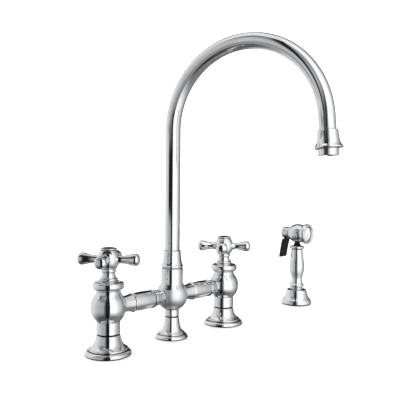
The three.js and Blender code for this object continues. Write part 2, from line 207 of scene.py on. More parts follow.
def satin_ball(z0, z1, low, high):
    """Plated metal that is satin between two heights and polished elsewhere."""
    def build(n, s, coord):
        plated(low, high)(n, s, coord)
        sep = n.new("ShaderNodeSeparateXYZ")
        n.put(sep.inputs[0], coord)
        z = sep.outputs["Z"]
        up = n.ramp(z, z0 - 0.001, z0 + 0.001)
        down = n.ramp(z, z1 - 0.001, z1 + 0.001, 1.0, 0.0)
        inside = n.math("MULTIPLY", up, down)
        grain = noise(n, coord, 900.0, 3.0, 0.6)
        rough = s.inputs["Roughness"].links[0].from_socket
        n.put(s.inputs["Roughness"], n.mix(inside, rough, n.mix(grain, 0.34, 0.44)))
    return build


def turned_metal(base, dark, rough):
    def build(n, s, coord):
        s.inputs["Metallic"].default_value = 1.0
        rings = noise(n, stretched(n, coord, (60.0, 60.0, 4200.0)), 1.0, 2.0)
        n.put(s.inputs["Base Color"], n.mix_rgb(rings, base, dark))
        n.put(s.inputs["Roughness"], n.mix(rings, rough - 0.06, rough + 0.08))
        n.put(s.inputs["Normal"], bump(n, rings, 0.2, 0.00003))
    return build


def moulded(base, low, high, grain=1500.0, depth=0.00004, shine=0.5):
    def build(n, s, coord):
        s.inputs["Specular IOR Level"].default_value = shine
        fine = noise(n, coord, grain, 3.0, 0.6)
        broad = noise(n, coord, 90.0, 3.0, 0.5)
        dark = tuple(c * 0.78 for c in base)
        n.put(s.inputs["Base Color"], n.mix_rgb(n.ramp(broad, 0.35, 0.7), base, dark))
        n.put(s.inputs["Roughness"], n.mix(fine, low, high))
        n.put(s.inputs["Normal"], bump(n, fine, 0.25, depth))
    return build


LOOK = {
    "chrome": material("plated_polished", plated(0.05, 0.13)),
    "chrome_soft": material("plated_soft", plated(0.12, 0.22)),
    "centre_body": material("plated_satin_ball", satin_ball(0.0375, 0.0645, 0.05, 0.13)),
    "brass": material("turned_brass", turned_metal((0.72, 0.56, 0.28), (0.58, 0.43, 0.2), 0.3)),
    "steel": material("stainless", turned_metal((0.66, 0.66, 0.67), (0.5, 0.5, 0.51), 0.28)),
    "black_plastic": material("black_moulding", moulded((0.010, 0.010, 0.011), 0.34, 0.5, shine=0.16)),
    "rubber": material("black_rubber", moulded((0.014, 0.014, 0.015), 0.6, 0.78, 2200.0, shine=0.2)),
    "white_plastic": material("white_moulding", moulded((0.8, 0.81, 0.81), 0.35, 0.5)),
    "ceramic": material("white_ceramic", moulded((0.86, 0.84, 0.8), 0.1, 0.2, 600.0, 0.00001)),
}

# ------------------------------------------------------------------ turned meshes


def catmull(p, steps):
    """Points of a centripetal spline through p, both ends included."""
    p = [np.array(q, float) for q in p]
    ext = [2 * p[0] - p[1]] + p + [2 * p[-1] - p[-2]]
    out = [p[0]]
    for i in range(len(p) - 1):
        a, b, c, d = ext[i:i + 4]
        t = [0.0]
        for u, v in ((a, b), (b, c), (c, d)):
            t.append(t[-1] + max(np.linalg.norm(v - u), 1e-6) ** 0.5)
        for k in range(1, steps + 1):
            x = t[1] + (t[2] - t[1]) * k / steps
            a1 = (t[1] - x) / (t[1] - t[0]) * a + (x - t[0]) / (t[1] - t[0]) * b
            a2 = (t[2] - x) / (t[2] - t[1]) * b + (x - t[1]) / (t[2] - t[1]) * c
            a3 = (t[3] - x) / (t[3] - t[2]) * c + (x - t[2]) / (t[3] - t[2]) * d
            b1 = (t[2] - x) / (t[2] - t[0]) * a1 + (x - t[0]) / (t[2] - t[0]) * a2
            b2 = (t[3] - x) / (t[3] - t[1]) * a2 + (x - t[1]) / (t[3] - t[1]) * a3
            out.append((t[2] - x) / (t[2] - t[1]) * b1 + (x - t[1]) / (t[2] - t[1]) * b2)
    return out


def cut_back(line, f):
    """Drops length f from the end of a polyline and returns what is left."""
    line = list(line)
    while len(line) > 1:
        seg = np.linalg.norm(line[-1] - line[-2])
        if seg > f:
            line[-1] = line[-1] + (line[-2] - line[-1]) * (f / seg)
            return line
        f -= seg
        line.pop()
    return line


def profile(items, steps=6, fillet=0.25):
    """items: (r, z) corner with the usual fillet, (r, z, f) corner with fillet f, (r, z, 's') a
    point that a smooth curve passes through. Closed unless it starts and ends on the axis."""
    pts = [(np.array(i[:2], float), (i[2] if len(i) > 2 else fillet)) for i in items]
    on_axis = abs(items[0][0]) < 1e-9 and abs(items[-1][0]) < 1e-9
    if not on_axis:
        first = next(k for k, q in enumerate(pts) if q[1] != "s")
        pts = pts[first:] + pts[:first]
        pts.append(pts[0])
    runs, run = [], [pts[0]]
    for q in pts[1:]:
        run.append(q)
        if q[1] != "s":
            runs.append(run)
            run = [q]
    lines = []
    for run in runs:
        p = [q[0] for q in run]
        lines.append(catmull(p, steps) if len(p) > 2 else [p[0], p[1]])
    count = len(runs)
    length = [sum(np.linalg.norm(b - a) for a, b in zip(l, l[1:])) for l in lines]
    cut_start, cut_end = [0.0] * count, [0.0] * count
    corners = []
    for k in range(count):
        nxt = (k + 1) % count
        if on_axis and k == count - 1:
            continue
        f = runs[k][-1][1]
        f = min(f, 0.45 * length[k], 0.45 * length[nxt])
        if f > 1e-6:
            cut_end[k], cut_start[nxt] = f, f
            corners.append((k, nxt, lines[k][-1].copy()))
    for k in range(count):
        l = lines[k]
        if cut_end[k]:
            l = cut_back(l, cut_end[k])
        if cut_start[k]:
            l = cut_back(l[::-1], cut_start[k])[::-1]
        lines[k] = l
    out = []
    at = {k: (nxt, c) for k, nxt, c in corners}
    for k in range(count):
        out += lines[k] if not out else (lines[k] if np.linalg.norm(lines[k][0] - out[-1]) > 1e-5 else lines[k][1:])
        if k in at:
            nxt, c = at[k]
            a, b = lines[k][-1], lines[nxt][0]
            for t in (0.25, 0.5, 0.75):
                out.append((1 - t) ** 2 * a + 2 * t * (1 - t) * c + t * t * b)
            if nxt > k:
                out.append(b)
    if not on_axis and np.linalg.norm(out[0] - out[-1]) < 1e-5:
        out.pop()
    return np.array(out), on_axis


def finish_mesh(name, verts, faces, normals=None):
    mesh = bpy.data.meshes.new(name)
    mesh.from_pydata([tuple(v) for v in verts], [], [tuple(int(i) for i in f) for f in faces])
    mesh.validate(clean_customdata=False)
    mesh.update()
    ob = bpy.data.objects.new(name, mesh)
    bpy.context.scene.collection.objects.link(ob)
    mesh.polygons.foreach_set("use_smooth", [True] * len(mesh.polygons))
    if normals is not None:
        mesh.normals_split_custom_set_from_vertices([tuple(v) for v in normals])
    return ob


def turned(items, n=72, steps=6, fillet=0.25, xf=None):
    """Vertices, faces and normals of a piece turned about Z, in metres after xf."""
    prof, on_axis = profile(items, steps, fillet)
    area = 0.0
    m = len(prof)
    for i in range(m):
        a, b = prof[i], prof[(i + 1) % m]
        area += a[0] * b[1] - b[0] * a[1]
    if area < 0:
        prof = prof[::-1]
    nrm = np.zeros_like(prof)
    for i in range(m - (1 if on_axis else 0)):
        a, b = prof[i], prof[(i + 1) % m]
        d = b - a
        w = np.array([d[1], -d[0]])          # outward for a counter-clockwise profile, length-weighted
        nrm[i] += w
        nrm[(i + 1) % m] += w
    nrm /= np.maximum(np.linalg.norm(nrm, axis=1, keepdims=True), 1e-12)
    verts, normals, rows = [], [], []
    for (r, z), (nr, nz) in zip(prof, nrm):
        if r < 1e-6:
            rows.append([len(verts)] * n)
            verts.append((0.0, 0.0, z))
            normals.append((0.0, 0.0, 1.0 if nz >= 0 else -1.0))
        else:
            row = []
            for k in range(n):
                a = 2 * math.pi * k / n
                row.append(len(verts))
                verts.append((r * math.cos(a), r * math.sin(a), z))
                normals.append((nr * math.cos(a), nr * math.sin(a), nz))
            rows.append(row)
    faces = []
    for i in range(m - (1 if on_axis else 0)):
        A, B = rows[i], rows[(i + 1) % m]
        for k in range(n):
            j = (k + 1) % n
            f = [A[k], A[j], B[j], B[k]]
            g = [v for q, v in enumerate(f) if v != f[q - 1]]
            if len(g) >= 3:
                faces.append(g)
    verts = np.array(verts) * MM
    normals = np.array(normals)
    if xf is not None:
        R = np.array(xf.to_3x3())
        verts = verts @ R.T + np.array(xf.translation)
        normals = normals @ R.T
    return verts, faces, normals


def at(x=0.0, y=0.0, z=0.0, turn=0.0):
    return Matrix.Translation((x * MM, y * MM, z * MM)) @ Matrix.Rotation(math.radians(turn), 4, "Z")


ALONG_X = Matrix.Rotation(math.radians(90), 4, "Y")      # local Z to +X
ALONG_Y = Matrix.Rotation(math.radians(-90), 4, "X")     # local Z to +Y


def piece(ob, node, body, look, shown_as=None):
    ob.name = shown_as or ("vis_" + node)
    ob.data.name = ob.name
    ob.data.materials.clear()
    ob.data.materials.append(LOOK[look])
    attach(ob, body)
    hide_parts(node)
    return ob


def lathe(node, body, look, items, xf, n=72, steps=6, fillet=0.25):
    v, f, nn = turned(items, n, steps, fillet, xf)
    return piece(finish_mesh(node + "_m", v, f, nn), node, body, look)


def solid(items, xf, n=72, steps=6, fillet=0.25):
    v, f, _ = turned(items, n, steps, fillet, xf)
    return finish_mesh("tmp", v, f)


def drop(ob):
    mesh = ob.data
    bpy.data.objects.remove(ob)
    if mesh.users == 0:
        bpy.data.meshes.remove(mesh)


def cut_or_join(ob, other, op):
    m = ob.modifiers.new("b", "BOOLEAN")
    m.operation = op
    m.solver = "EXACT"
    m.object = other
    bake(ob)
    drop(other)
    return ob


def bake(ob):
    """Applies the modifiers on ob."""
    dg = bpy.context.evaluated_depsgraph_get()
    new = bpy.data.meshes.new_from_object(ob.evaluated_get(dg), depsgraph=dg)
    old = ob.data
    ob.modifiers.clear()
    ob.data = new
    bpy.data.meshes.remove(old)
    return ob


def tidy(ob, angle=32.0, weld=1.5e-6):
    """Cleans a mesh after a boolean and gives it area-weighted normals with sharp edges kept."""
    bm = bmesh.new()
    bm.from_mesh(ob.data)
    bmesh.ops.remove_doubles(bm, verts=bm.verts, dist=weld)
    bmesh.ops.dissolve_degenerate(bm, dist=1e-7, edges=bm.edges)
    bmesh.ops.recalc_face_normals(bm, faces=bm.faces)
    for f in bm.faces:
        f.smooth = True
    lim = math.radians(angle)
    for e in bm.edges:
        if len(e.link_faces) == 2:
            e.smooth = e.calc_face_angle(0.0) < lim
    bm.to_mesh(ob.data)
    bm.free()
    w = ob.modifiers.new("w", "WEIGHTED_NORMAL")
    w.keep_sharp = True
    w.weight = 80
    bake(ob)
    return ob


def holes(ob, points, r, axis, depth, sides=16):
    """Cuts round holes of radius r (mm) centred on points (mm) along axis."""
    bm = bmesh.new()
    for p in points:
        rot = {"z": Matrix(), "y": Matrix.Rotation(math.radians(90), 4, "X"), "x": Matrix.Rotation(math.radians(90), 4, "Y")}[axis]
        bmesh.ops.create_cone(bm, cap_ends=True, segments=sides, radius1=r * MM, radius2=r * MM, depth=depth * MM,
                              matrix=Matrix.Translation(Vector(p) * MM) @ rot)
    me = bpy.data.meshes.new("cut")
    bm.to_mesh(me)
    bm.free()
    c = bpy.data.objects.new("cut", me)
    bpy.context.scene.collection.objects.link(c)
    return cut_or_join(ob, c, "DIFFERENCE")


# ------------------------------------------------------------------ valve columns
ESCUTCHEON = [
    (25.9, 0.0, 0.4), (26.6, 1.2, "s"), (26.5, 2.9, "s"), (25.5, 4.6, "s"), (24.0, 5.6, "s"), (23.1, 5.8, 0.12),
    (22.2, 5.9, 0.1), (22.2, 6.5, 0.1), (22.8, 6.7, 0.12), (22.8, 7.3, "s"), (22.2, 8.1, "s"), (21.2, 8.5, 0.2), (18.5, 10.6, "s"), (16.3, 13.6, "s"), (14.8, 17.4, "s"),
    (14.0, 21.0, "s"), (13.75, 22.7, 0.25), (12.9, 23.3, 0.15), (10.9, 23.4), (10.9, 17.0), (20.6, 4.5), (22.2, 2.6), (22.2, 0.0),
]


def ball(r, h, a, b, steps):
    return [(r * math.sqrt(max(0.0, 1 - ((z - WATER_Z) / h) ** 2)), z, "s") for z in
            [a + (b - a) * i / steps for i in range(1, steps)]]


VALVE_BODY = [
    (10.3, 0.0), (10.3, 24.4), (12.5, 24.4, 0.15), (13.6, 25.1, 0.3), (13.6, 38.8, 0.5),
    *ball(20.5, 21.5, 39.3, 66.8, 12), (17.2, 66.8, "s"), (15.7, 69.0, "s"), (14.5, 71.0, "s"), (13.95, 72.9, "s"), (13.8, 74.8, 0.2),
    (10.8, 74.8), (10.8, 46.0), (6.5, 44.0), (6.5, 0.0),
]
BONNET = [
    (13.9, 75.2, 0.15), (15.6, 75.5, "s"), (17.2, 76.8, "s"), (18.05, 79.2, "s"), (17.95, 81.6, "s"), (17.0, 83.6, "s"), (15.4, 84.7, "s"), (14.0, 85.0, 0.2),
    (12.2, 85.0, 0.1), (11.6, 84.7, 0.1), (11.1, 85.0, 0.1), (10.7, 85.7, "s"), (10.4, 86.2, 0.12), (10.7, 86.8, "s"), (10.7, 87.6, "s"), (10.1, 88.7, "s"),
    (9.0, 89.3, 0.15), (8.2, 91.4, "s"), (7.6, 93.6, "s"), (7.3, 95.2, 0.2),
    (5.3, 95.2), (5.3, 87.6), (8.2, 86.6), (8.2, 75.2),
]
HUB = [
    (7.7, 95.5, 0.2), (8.4, 96.1, "s"), (8.6, 97.2, "s"), (8.3, 98.6, "s"), (8.1, 99.3, 0.12), (8.8, 99.8, "s"), (9.9, 100.9, "s"), (11.2, 103.4, "s"), (12.25, 107.4, "s"),
    (12.5, 110.5, "s"), (12.1, 114.5, "s"), (11.1, 118.0, "s"), (9.6, 120.6, "s"), (8.9, 121.25, 0.25), (7.4, 121.3, 0.15),
    (7.4, 116.2), (1.7, 116.2), (1.7, 112.4), (4.1, 112.4), (4.1, 101.8), (4.9, 101.0), (4.9, 95.5),
]
ARM = [
    (0.0, 8.0, 0.0), (6.4, 8.0, 0.1), (6.0, 10.2, "s"), (5.1, 12.6, "s"), (4.5, 15.4, "s"), (4.6, 18.6, "s"), (5.2, 22.4, "s"), (6.2, 26.4, "s"), (7.05, 29.8, "s"),
    (7.2, 31.6, "s"), (6.8, 33.6, "s"), (5.6, 35.3, "s"), (3.6, 36.5, "s"), (1.7, 36.95, "s"), (0.0, 37.0, 0.0),
]
BUTTON = [
    (0.0, 119.1, 0.0), (7.0, 119.1, 0.2), (7.0, 121.6, 0.1), (9.0, 121.6, 0.15), (9.45, 122.1, "s"), (9.45, 122.9, "s"), (9.05, 123.35, 0.2), (7.4, 123.9, "s"),
    (4.0, 124.6, "s"), (0.0, 124.85, 0.0),
]


def cross_handle(x):
    hub = solid(HUB, at(x, 0, 0, HANDLE_TURN), 80)
    for k in range(4):
        a = math.radians(HANDLE_TURN + 90 * k)
        xf = at(x, 0, HANDLE_Z) @ Matrix.Rotation(a, 4, "Z") @ ALONG_X
        hub = cut_or_join(hub, solid(ARM, xf, 40), "UNION")
    inner = solid([(0, 102.0, 0), (4.1, 102.0, 0), (4.1, 112.4, 0), (0, 112.4, 0)], at(x), 40)
    hub = cut_or_join(hub, inner, "DIFFERENCE")
    return tidy(hub)


for side, s in (("hot", -1), ("cold", 1)):
    x = s * VALVE_X
    lathe(f"{side}_escutcheon", "base", "chrome", ESCUTCHEON, at(x), 96)
    lathe(f"{side}_bonnet", "base", "chrome", BONNET, at(x), 80)
    body = solid(VALVE_BODY, at(x), 96)
    socket = solid([(0, 8.0, 0), (7.9, 8.0, 0), (7.9, 26.0, 0), (0, 26.0, 0)],
                   at(x, 0, WATER_Z) @ Matrix.Rotation(math.pi if s > 0 else 0.0, 4, "Z") @ ALONG_X, 64)
    piece(tidy(cut_or_join(body, socket, "DIFFERENCE")), f"{side}_valve_body", "base", "chrome")
    piece(cross_handle(x), f"{side}_cross_handle", f"{side}_handle", "chrome")
    lathe(f"{side}_index_button", f"{side}_handle", "chrome", BUTTON, at(x), 72)

# ------------------------------------------------------------------ bridge arms
ARM_HALF = [
    (10.7, 13.6, 0.2), (10.35, 14.2, 0.1), (10.9, 14.7, "s"), (11.6, 15.5, "s"), (11.6, 16.5, "s"), (11.0, 17.4, "s"), (10.6, 17.8, 0.15),
    (10.3, 20.0, "s"), (9.7, 24.6, "s"), (9.1, 31.4, 0.3),
]
arm_items = [(7.5, -39.4), (7.5, -31.4, 0.1)]
arm_items += [(i[0], -i[1], i[2]) for i in reversed(ARM_HALF)]
arm_items += [(11.05, -8.0, "s"), (11.3, 0.0, "s"), (11.05, 8.0, "s")]
arm_items += list(ARM_HALF)
arm_items += [(7.5, 31.4, 0.1), (7.5, 39.4), (5.2, 39.4), (5.2, -39.4)]
for side, s in (("hot", -1), ("cold", 1)):
    lathe(f"{side}_bridge_arm", "base", "chrome", arm_items, at(s * ARM_MID, 0, WATER_Z) @ ALONG_X, 80)

# ------------------------------------------------------------------ centre column
CENTRE_ESCUTCHEON = [
    (19.7, 0.0, 0.3), (20.4, 1.1, "s"), (20.3, 2.5, "s"), (19.3, 4.0, "s"), (18.0, 4.9, "s"), (17.2, 5.1, 0.12), (16.5, 5.2, 0.08), (16.5, 5.7, 0.08), (16.9, 5.9, 0.1), (16.9, 6.4, "s"), (16.3, 7.1, "s"), (15.6, 7.4, 0.15),
    (13.6, 9.2, "s"), (11.9, 11.9, "s"), (10.7, 15.2, "s"), (9.9, 19.6, "s"), (9.55, 23.8, "s"), (9.45, 26.4, 0.2), (8.9, 27.0, 0.12),
    (7.7, 27.1), (7.7, 17.0), (15.0, 4.4), (16.4, 2.6), (16.4, 0.0),
]
CENTRE_BODY = [
    (7.1, 0.0), (7.1, 28.1), (8.3, 28.1, 0.12), (9.0, 28.7, 0.25), (9.0, 36.9, 0.5), *ball(20.3, 20.3, 37.2, 65.3, 12), (17.5, 65.3, "s"), (16.0, 67.6, "s"), (14.8, 69.6, "s"),
    (14.2, 71.4, "s"), (14.0, 73.2, 0.2), (14.0, 89.2, 0.25), (13.6, 89.6, 0.1),
    (12.7, 89.6), (12.7, 79.0), (9.9, 79.0), (9.9, 66.2), (9.4, 66.2), (9.4, 42.4), (4.5, 41.4), (4.5, 0.0),
]
lathe("centre_escutcheon", "base", "chrome", CENTRE_ESCUTCHEON, at(), 88)
body = solid(CENTRE_BODY, at(), 96)
for turn in (0.0, math.pi):
    socket = solid([(0, 8.5, 0), (7.9, 8.5, 0), (7.9, 26.0, 0), (0, 26.0, 0)],
                   at(0, 0, WATER_Z) @ Matrix.Rotation(turn, 4, "Z") @ ALONG_X, 64)
    body = cut_or_join(body, socket, "DIFFERENCE")
piece(tidy(body), "centre_body", "base", "centre_body")

lathe("spout_nut_washer", "base", "steel", [(13.2, 89.9), (13.2, 91.1), (12.6, 91.1), (12.6, 89.9)], at(), 72, fillet=0.15)
NUT = [
    (12.3, 80.4), (12.3, 91.4, 0.1), (13.8, 91.4, 0.15), (14.1, 91.9, 0.2), (14.1, 93.4, 0.2), (13.5, 94.0, "s"), (12.8, 95.4, "s"), (12.2, 97.8, "s"), (11.7, 100.8, "s"), (11.3, 104.2, "s"),
    (11.0, 108.0, "s"), (10.8, 111.9, 0.2), (10.4, 112.3, 0.1), (10.0, 112.3), (10.0, 100.8), (11.3, 100.2), (11.3, 80.4),
]
lathe("spout_nut", "base", "chrome", NUT, at(), 80)

# ------------------------------------------------------------------ gooseneck


ARC_END_Y = -ARC_R * (1 - math.cos(ARC_END))
ARC_END_Z = ARC_Z + ARC_R * math.sin(ARC_END)
RUN = (ARC_END_Z - RIM_Z) / -math.cos(ARC_END) - SEAT
RIM_Y = ARC_END_Y - (RUN + SEAT) * math.sin(ARC_END)


def gooseneck(outer, bore, n=56, arc_steps=120):
    turn = Matrix.Rotation(math.radians(SPOUT_TURN), 3, "Z")
    stations = []
    f = 0.3
    ring = [(bore, 0.0), (bore, f), None]
    path = [(0.0, TUBE_FOOT_Z, 0.0)]
    path += [(0.0, TUBE_FOOT_Z + (ARC_Z - TUBE_FOOT_Z) * k / 6, 0.0) for k in range(1, 7)]
    for k in range(1, arc_steps + 1):
        a = ARC_END * k / arc_steps
        path.append((-ARC_R * (1 - math.cos(a)), ARC_Z + ARC_R * math.sin(a), a))
    for k in range(1, 5):
        path.append((ARC_END_Y - RUN * k / 4 * math.sin(ARC_END), ARC_END_Z + RUN * k / 4 * math.cos(ARC_END), ARC_END))
    verts, normals, rows = [], [], []

    def station(y, z, a, r, nr, nt):
        row = []
        t = Vector((0.0, -math.sin(a), math.cos(a)))
        for k in range(n):
            b = 2 * math.pi * k / n
            radial = Vector((math.cos(b), math.sin(b) * math.cos(a), math.sin(b) * math.sin(a)))
            p = turn @ (Vector((0, y, z)) + radial * r)
            row.append(len(verts))
            verts.append(p * MM)
            normals.append(turn @ (radial * nr + t * nt).normalized())
        rows.append(row)

    c = 0.3
    y0, z0, a0 = path[0]
    y1, z1, a1 = path[-1]
    station(y0, z0, a0, outer - c, 0.4, -1.0)
    station(y0, z0 + c, a0, outer, 1.0, -0.3)
    for y, z, a in path[1:-1]:
        station(y, z, a, outer, 1.0, 0.0)
    yb, zb = y1 + c * math.sin(a1), z1 - c * math.cos(a1)
    station(yb, zb, a1, outer, 1.0, 0.3)
    station(y1, z1, a1, outer - c, 0.4, 1.0)
    station(y1, z1, a1, bore + c, -0.4, 1.0)
    station(yb, zb, a1, bore, -1.0, 0.3)
    for y, z, a in reversed(path[1:-1]):
        station(y, z, a, bore, -1.0, 0.0)
    station(y0, z0 + c, a0, bore, -1.0, -0.3)
    station(y0, z0, a0, bore + c, -0.4, -1.0)
    faces = []
    for i in range(len(rows)):
        A, B = rows[i], rows[(i + 1) % len(rows)]
        for k in range(n):
            j = (k + 1) % n
            faces.append((A[k], A[j], B[j], B[k]))
    return finish_mesh("gooseneck_m", verts, faces, normals)


piece(gooseneck(TUBE_R, 8.1), "spout_tube", "spout", "chrome")

TURN = Matrix.Rotation(math.radians(SPOUT_TURN), 4, "Z")
TIP = TURN @ at(0, RIM_Y, RIM_Z) @ Matrix.Rotation(math.radians(-LEAN), 4, "X")
BELL = [
    (15.1, 0, 0.2), (15.75, 0.6, "s"), (15.8, 1.5, "s"), (15.1, 2.6, "s"), (13.9, 4.3, "s"), (13.0, 6.4, "s"), (12.35, 9.0, "s"), (11.85, 12.4, "s"), (11.55, 16.0, "s"),
    (11.4, 19.3, 0.3), (11.0, 20.1, 0.15), (10.2, 20.1), (10.2, 17.2), (8.9, 16.8), (8.9, 15.2), (10.0, 14.4), (10.0, 9.5), (12.9, 1.6), (13.9, 0, 0.2),
]
lathe("spout_end_bell", "spout", "chrome", BELL, TIP, 80)
SEAT_H = 7.7
NOZZLE = TURN @ at(0, AERATOR_Y, RIM_Z + SEAT_H) @ Matrix.Rotation(math.radians(-AERATOR_LEAN), 4, "X") @ at(0, 0, -SEAT_H)
HOUSING = [
    (10.9, -7.9, 0.2), (11.3, -7.4, 0.3), (11.3, 0.8), (8.6, 6.0), (8.6, 9.2), (7.3, 9.2), (7.3, 4.6), (9.6, 1.2), (9.6, -5.7), (10.1, -6.5, 0.2), (10.2, -7.9, 0.2),
]
lathe("aerator_housing", "spout", "chrome", HOUSING, NOZZLE, 72)
screen = solid([(0, -5.0, 0), (9.2, -5.0, 0.3), (9.2, 0.9, 0.2), (0, 0.9, 0)], NOZZLE, 64)
pts = [NOZZLE @ Vector((0, 0, -2 * MM))]
for count, rr in ((6, 2.7), (12, 5.3), (18, 7.8)):
    for k in range(count):
        a = 2 * math.pi * k / count
        pts.append(NOZZLE @ Vector((rr * MM * math.cos(a), rr * MM * math.sin(a), -2 * MM)))
screen = holes(screen, [p / MM for p in pts], 0.85, "z", 12.0, 8)
piece(tidy(screen), "aerator_insert", "spout", "white_plastic")

# ------------------------------------------------------------------ side spray
S = at(SPRAY_X)
HOLDER = [
    (22.4, 0.0, 0.3), (23.5, 0.9, "s"), (24.1, 3.0, "s"), (23.9, 5.2, "s"), (22.8, 7.6, "s"), (20.9, 10.0, "s"), (19.1, 12.6, "s"), (17.8, 15.8, "s"), (16.9, 19.6, "s"),
    (15.95, 22.6, "s"), (15.2, 24.0, 0.3), (13.6, 24.1, 0.2), (13.6, 19.2), (12.8, 19.2), (12.8, 2.8), (20.6, 2.8), (20.6, 0.0),
]
lathe("spray_holder", "base", "chrome", HOLDER, S, 88)
LINER = [(12.4, 0.3), (12.4, 19.5), (13.2, 19.5), (13.2, 21.9, 0.3), (11.6, 21.9, 0.3), (10.9, 19.0), (8.6, 9.0), (5.8, 9.0), (5.8, 0.3)]
lathe("spray_holder_liner", "base", "black_plastic", LINER, S, 72)
HOSE_NUT = [
    (7.6, 9.3, 0.3), (8.1, 12.0), (10.0, 20.6), (10.4, 22.4, 0.3), (10.4, 25.5, 0.4), (9.9, 26.2, 0.15), (5.2, 26.2), (5.2, 33.6), (3.2, 33.6), (3.2, 22.0), (4.6, 21.0), (4.6, 9.3),
]
lathe("spray_hose_nut", "hose_end", "chrome", HOSE_NUT, S, 72)
HANDLE = [
    (9.8, 26.6, 0.15), (9.9, 28.4, 0.2), (10.7, 28.9, "s"), (11.5, 30.0, "s"), (11.5, 31.8, "s"), (10.8, 33.0, "s"), (9.8, 33.9, 0.3), (9.0, 36.0, "s"), (8.6, 39.4, "s"), (8.8, 43.0, "s"), (9.8, 47.6, "s"),
    (11.2, 53.4, "s"), (12.1, 59.4, "s"), (12.1, 64.4, "s"), (11.3, 71.4, "s"), (10.1, 78.8, "s"), (9.2, 85.4, "s"), (8.9, 90.6, 0.3), (10.1, 91.3, "s"), (11.2, 92.6, "s"), (11.4, 94.3, "s"), (10.7, 95.9, "s"),
    (9.6, 96.5, 0.2), (4.4, 96.5), (4.4, 86.4), (3.6, 86.0), (3.6, 35.2), (5.6, 34.4), (5.6, 28.6), (7.7, 28.4), (7.7, 26.6),
]
lathe("spray_handle", "handset", "chrome", HANDLE, S, 80)
NECK = [(4.1, 87.0), (4.1, 96.8), (6.3, 96.8, 0.2), (5.9, 97.8, "s"), (5.2, 99.6, "s"), (4.7, 101.3, 0.2), (4.0, 101.3), (4.0, 107.6), (2.6, 107.6), (2.6, 87.0)]
lathe("spray_neck", "handset", "black_plastic", NECK, S, 64)

H = at(SPRAY_X, 0, HEAD_Z) @ ALONG_Y
SHELL = [
    (12.9, -11.7, 0.2), (13.9, -9.8, "s"), (14.9, -6.4, "s"), (15.3, -2.4, "s"), (14.9, 2.0, "s"), (13.7, 6.2, "s"), (12.0, 9.4, "s"), (10.3, 11.4, "s"), (9.0, 12.0, 0.2),
    (2.2, 12.0), (2.2, 7.4), (8.6, 6.6), (9.4, -6.5), (11.2, -8.6), (11.2, -11.7),
]
shell = solid(SHELL, H, 88)
hole = solid([(0, 99.0, 0), (4.4, 99.0, 0), (4.4, 109.3, 0), (0, 109.3, 0)], S, 48)
piece(tidy(cut_or_join(shell, hole, "DIFFERENCE")), "spray_head_shell", "handset", "chrome_soft")
RING = [
    (14.2, -21.6, 0.3), (15.2, -21.2, "s"), (15.9, -20.0, "s"), (16.1, -18.2, "s"), (15.9, -16.4, "s"), (15.3, -15.0, "s"), (14.4, -14.3, "s"), (13.4, -14.2, 0.1), (13.2, -12.0, 0.1), (11.9, -12.0, 0.1),
    (11.9, -14.6), (12.6, -15.0), (12.6, -17.6), (11.9, -18.2), (11.9, -21.0, 0.2), (12.6, -21.6, 0.3),
]
lathe("spray_face_ring", "handset", "chrome", RING, H, 80, fillet=0.1)
PLATE = [
    (0, -18.8, 0), (10.8, -18.8, 0.25), (11.4, -18.2, 0.2), (11.4, -17.4, 0.1), (12.2, -16.8, 0.1), (12.2, -15.3, 0.05), (11.5, -14.9, 0.1), (11.5, -12.2), (10.7, -12.2), (10.7, -14.2), (0, -14.2, 0),
]
plate = solid(PLATE, H, 72, fillet=0.1)
pts = []
for count, rr in ((6, 2.9), (12, 5.7), (18, 8.5)):
    for k in range(count):
        a = 2 * math.pi * (k + 0.5) / count
        pts.append((SPRAY_X + rr * math.cos(a), -16.5, HEAD_Z + rr * math.sin(a)))
plate = holes(plate, pts, 0.5, "y", 9.0, 10)
piece(tidy(plate), "spray_nozzle_plate", "handset", "white_plastic")
CAP = [(0, 12.3, 0), (8.6, 12.3, 0.2), (9.3, 13.3, 0.3), (9.3, 15.0, 0.1), (8.7, 15.3, 0.08), (8.7, 15.9, 0.08), (9.3, 16.2, 0.1), (9.3, 25.4, 0.7), (8.4, 26.5, 0.5), (0, 26.6, 0)]
cap = solid(CAP, H, 72)


def block(x0, x1, y0, y1, z0, z1):
    bm = bmesh.new()
    bmesh.ops.create_cube(bm, size=1.0)
    for v in bm.verts:
        v.co = Vector(((x0 if v.co.x < 0 else x1), (y0 if v.co.y < 0 else y1), (z0 if v.co.z < 0 else z1))) * MM
    me = bpy.data.meshes.new("blk")
    bm.to_mesh(me)
    bm.free()
    o = bpy.data.objects.new("blk", me)
    bpy.context.scene.collection.objects.link(o)
    return o


cap = cut_or_join(cap, block(SPRAY_X - 4.4, SPRAY_X + 4.4, 16.6, 24.9, HEAD_Z - 12, HEAD_Z + 7.2), "DIFFERENCE")
cap = cut_or_join(cap, solid([(0, 11, 0), (1.9, 11, 0), (1.9, 18, 0), (0, 18, 0)], H, 32), "DIFFERENCE")
cap = holes(cap, [(SPRAY_X, 20.4, HEAD_Z + 4.4)], 1.5, "x", 20.0, 28)
piece(tidy(cap), "spray_back_cap", "handset", "chrome_soft")


